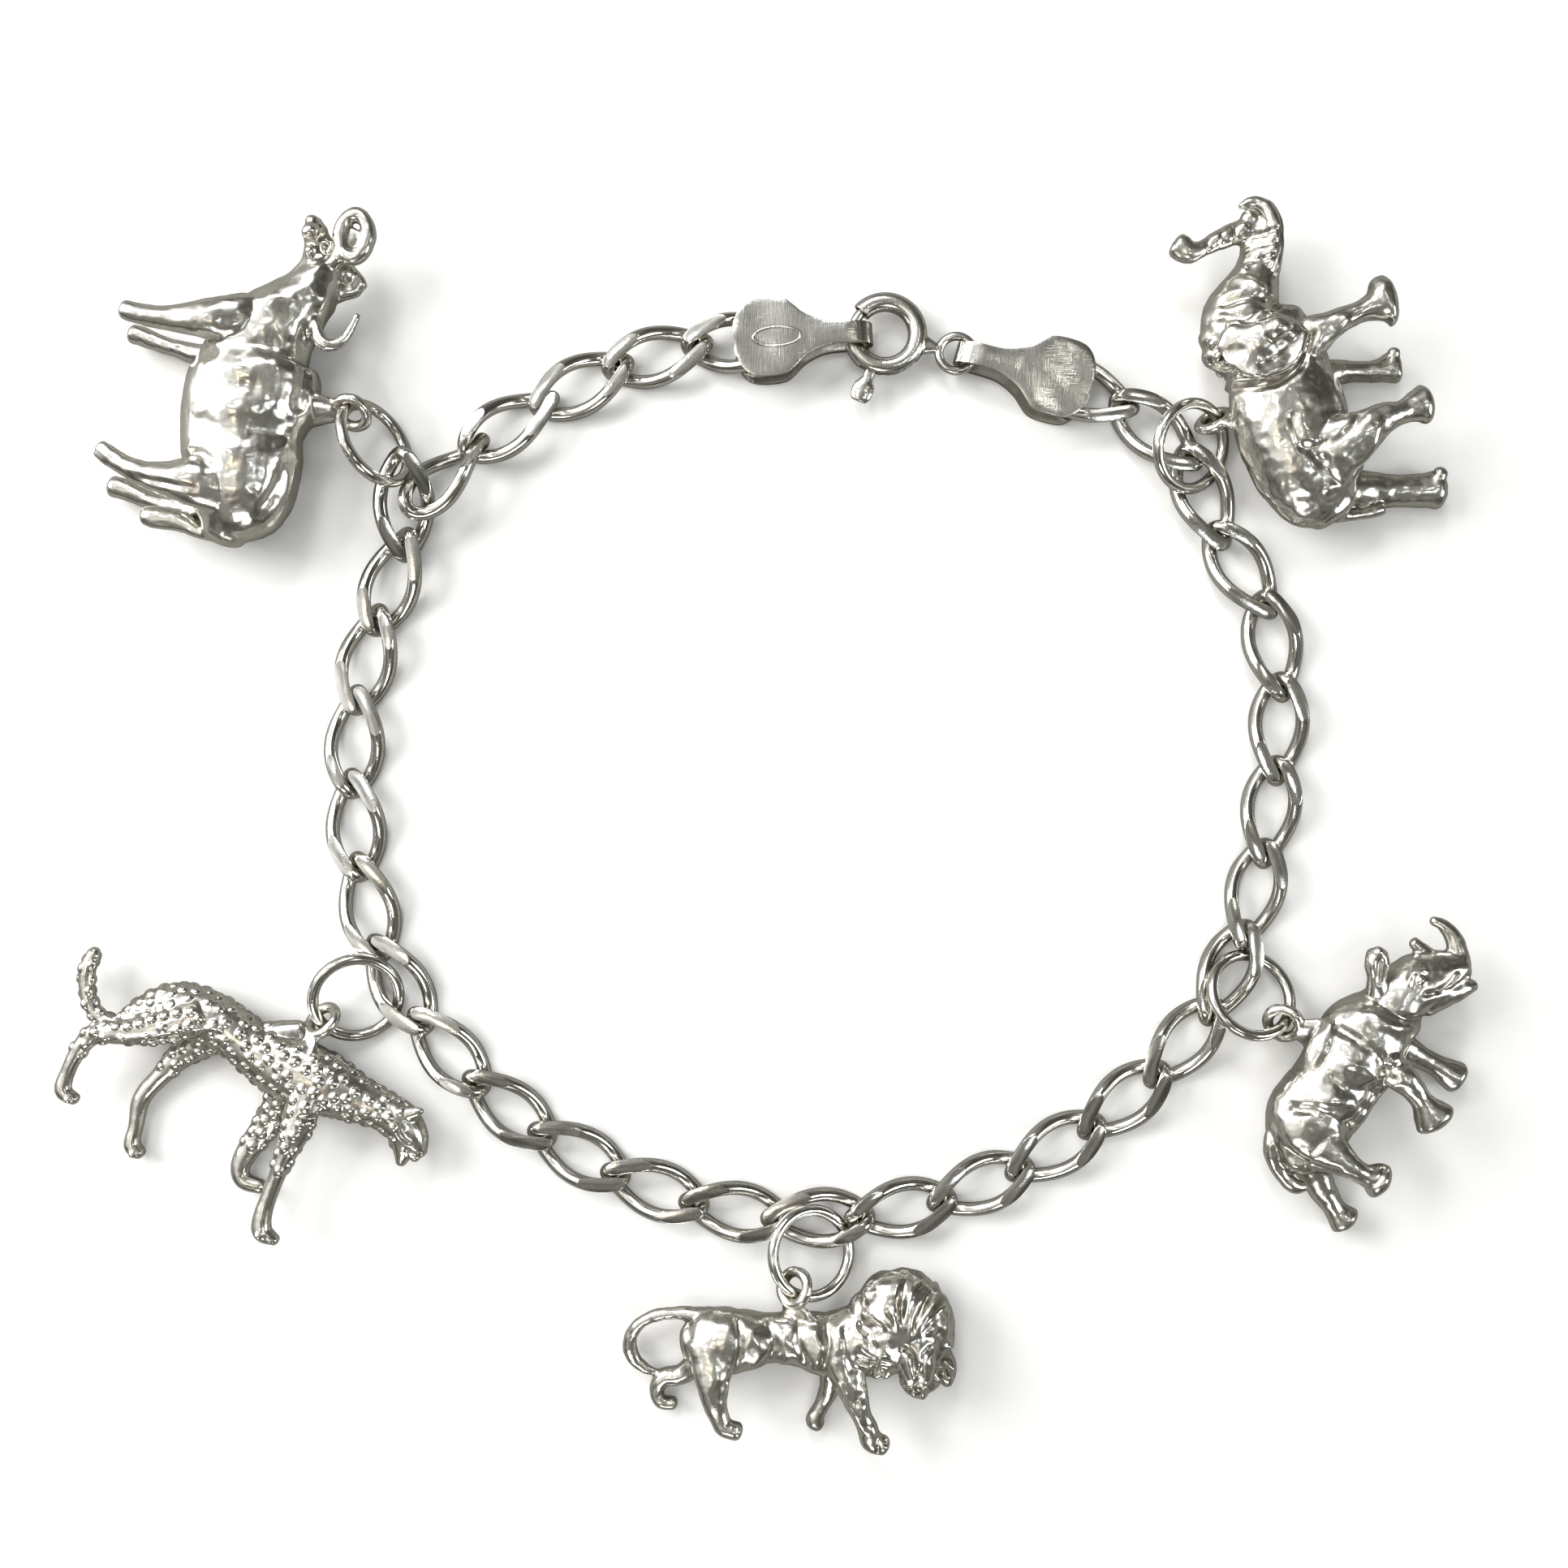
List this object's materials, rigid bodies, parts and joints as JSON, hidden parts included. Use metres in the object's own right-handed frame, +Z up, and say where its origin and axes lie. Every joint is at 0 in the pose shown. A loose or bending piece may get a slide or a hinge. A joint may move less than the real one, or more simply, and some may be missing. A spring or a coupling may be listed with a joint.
{
  "type": "charm bracelet",
  "caption": "Silver charm bracelet lying in an open loop: filed curb chain, cast wild animal charms on jump rings, leaf-shaped end tabs and a bolt ring clasp with a thumb lever.",
  "frame": {"origin": "on the surface it lies on, under the middle of its box", "axes": "+X to the right and +Y away, as the bracelet is seen from above with its clasp at the far side; +Z up"},
  "size_m": [0.0898, 0.08, 0.006],
  "materials": {
    "chain_silver": "polished silver wire with filed flats, worn",
    "clasp_silver": "polished silver sheet and tube, finely scratched",
    "cast_silver": "cast silver, grainy and tarnished in its hollows"
  },
  "bodies": {
    "bracelet": {"link_01": "chain_silver", "link_02": "chain_silver", "link_03": "chain_silver", "link_04": "chain_silver", "link_05": "chain_silver", "link_06": "chain_silver", "link_07": "chain_silver", "link_08": "chain_silver", "link_09": "chain_silver", "link_10": "chain_silver", "link_11": "chain_silver", "link_12": "chain_silver", "link_13": "chain_silver", "link_14": "chain_silver", "link_15": "chain_silver", "link_16": "chain_silver", "link_17": "chain_silver", "link_18": "chain_silver", "link_19": "chain_silver", "link_20": "chain_silver", "link_21": "chain_silver", "link_22": "chain_silver", "link_23": "chain_silver", "link_24": "chain_silver", "link_25": "chain_silver", "link_26": "chain_silver", "link_27": "chain_silver", "link_28": "chain_silver", "link_29": "chain_silver", "link_30": "chain_silver", "link_31": "chain_silver", "link_32": "chain_silver", "jump_ring_buffalo": "chain_silver", "jump_ring_elephant": "chain_silver", "jump_ring_rhinoceros": "chain_silver", "jump_ring_lion": "chain_silver", "jump_ring_cheetah": "chain_silver", "clasp_ring": "clasp_silver", "tab_left": "clasp_silver", "tab_right": "clasp_silver", "charm_buffalo": "cast_silver", "charm_elephant": "cast_silver", "charm_rhinoceros": "cast_silver", "charm_lion": "cast_silver", "charm_cheetah": "cast_silver"},
    "bolt": {"clasp_bolt": "clasp_silver"}
  },
  "joints": [
    {"name": "bolt_turn", "type": "hinge", "parent": "bracelet", "child": "bolt", "pos_m": [0.0076, 0.03135, 0.0012], "axis": [0, 0, 1], "range_deg": [0, 55], "stiffness_Nm_per_rad": 0.002, "springref_deg": -28.65}
  ]
}
